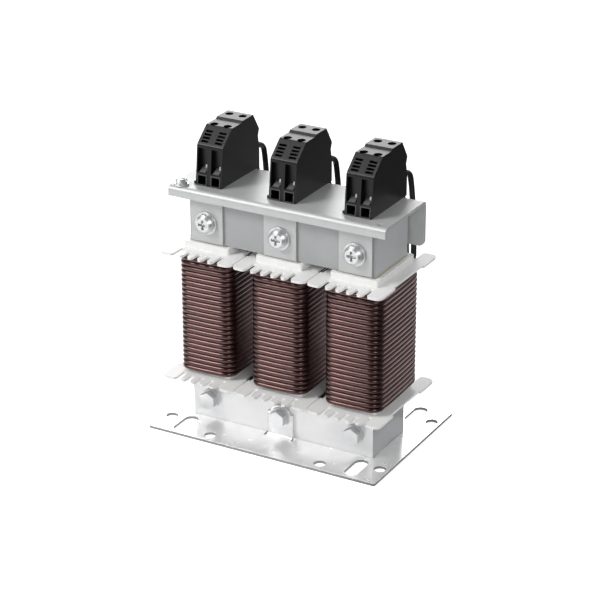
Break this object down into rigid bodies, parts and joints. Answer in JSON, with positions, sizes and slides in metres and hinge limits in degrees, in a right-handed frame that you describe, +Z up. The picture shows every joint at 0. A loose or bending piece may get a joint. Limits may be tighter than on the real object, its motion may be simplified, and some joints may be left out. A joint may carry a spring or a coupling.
{
  "type": "line reactor",
  "caption": "Open power choke: wound bobbins on a laminated core between a punched base plate and a folded bracket that carries screw terminal blocks.",
  "frame": {"origin": "centre of the base plate's underside", "axes": "+X along the row of coils, -Y the front where the supply wires enter, +Z up"},
  "size_m": [0.125, 0.085, 0.1512],
  "materials": {
    "zinc_sheet": "zinc-plated sheet",
    "core_steel": "satin laminations",
    "spacer": "matt laminate",
    "bobbin": "satin moulding",
    "winding": "glossy enamelled wire",
    "sleeve": "satin sleeve",
    "fastener": "zinc-plated",
    "contact_metal": "satin",
    "housing": "fine matt moulding"
  },
  "bodies": {
    "root": {"base_plate": "zinc_sheet", "core_legs": "core_steel", "top_yoke": "core_steel", "terminal_bracket": "zinc_sheet", "upper_bolts": "fastener", "upper_front_washers": "fastener", "upper_rear_washers": "fastener", "upper_nuts": "fastener", "lower_bolts": "fastener", "lower_front_washers": "fastener", "lower_rear_washers": "fastener", "lower_nuts": "fastener", "earth_screw": "fastener", "earth_washer": "fastener", "clamp_cages": "fastener", "current_bars": "contact_metal", "clamp_screws": "fastener", "gap_spacer_left": "spacer", "bobbin_left": "bobbin", "winding_left": "winding", "yoke_strap_left": "zinc_sheet", "terminal_housing_left": "housing", "lead_left_first": "sleeve", "lead_left_second": "sleeve", "gap_spacer_middle": "spacer", "bobbin_middle": "bobbin", "winding_middle": "winding", "yoke_strap_middle": "zinc_sheet", "terminal_housing_middle": "housing", "lead_middle_first": "sleeve", "lead_middle_second": "sleeve", "gap_spacer_right": "spacer", "bobbin_right": "bobbin", "winding_right": "winding", "yoke_strap_right": "zinc_sheet", "terminal_housing_right": "housing", "lead_right_first": "sleeve", "lead_right_second": "sleeve"}
  },
  "joints": []
}
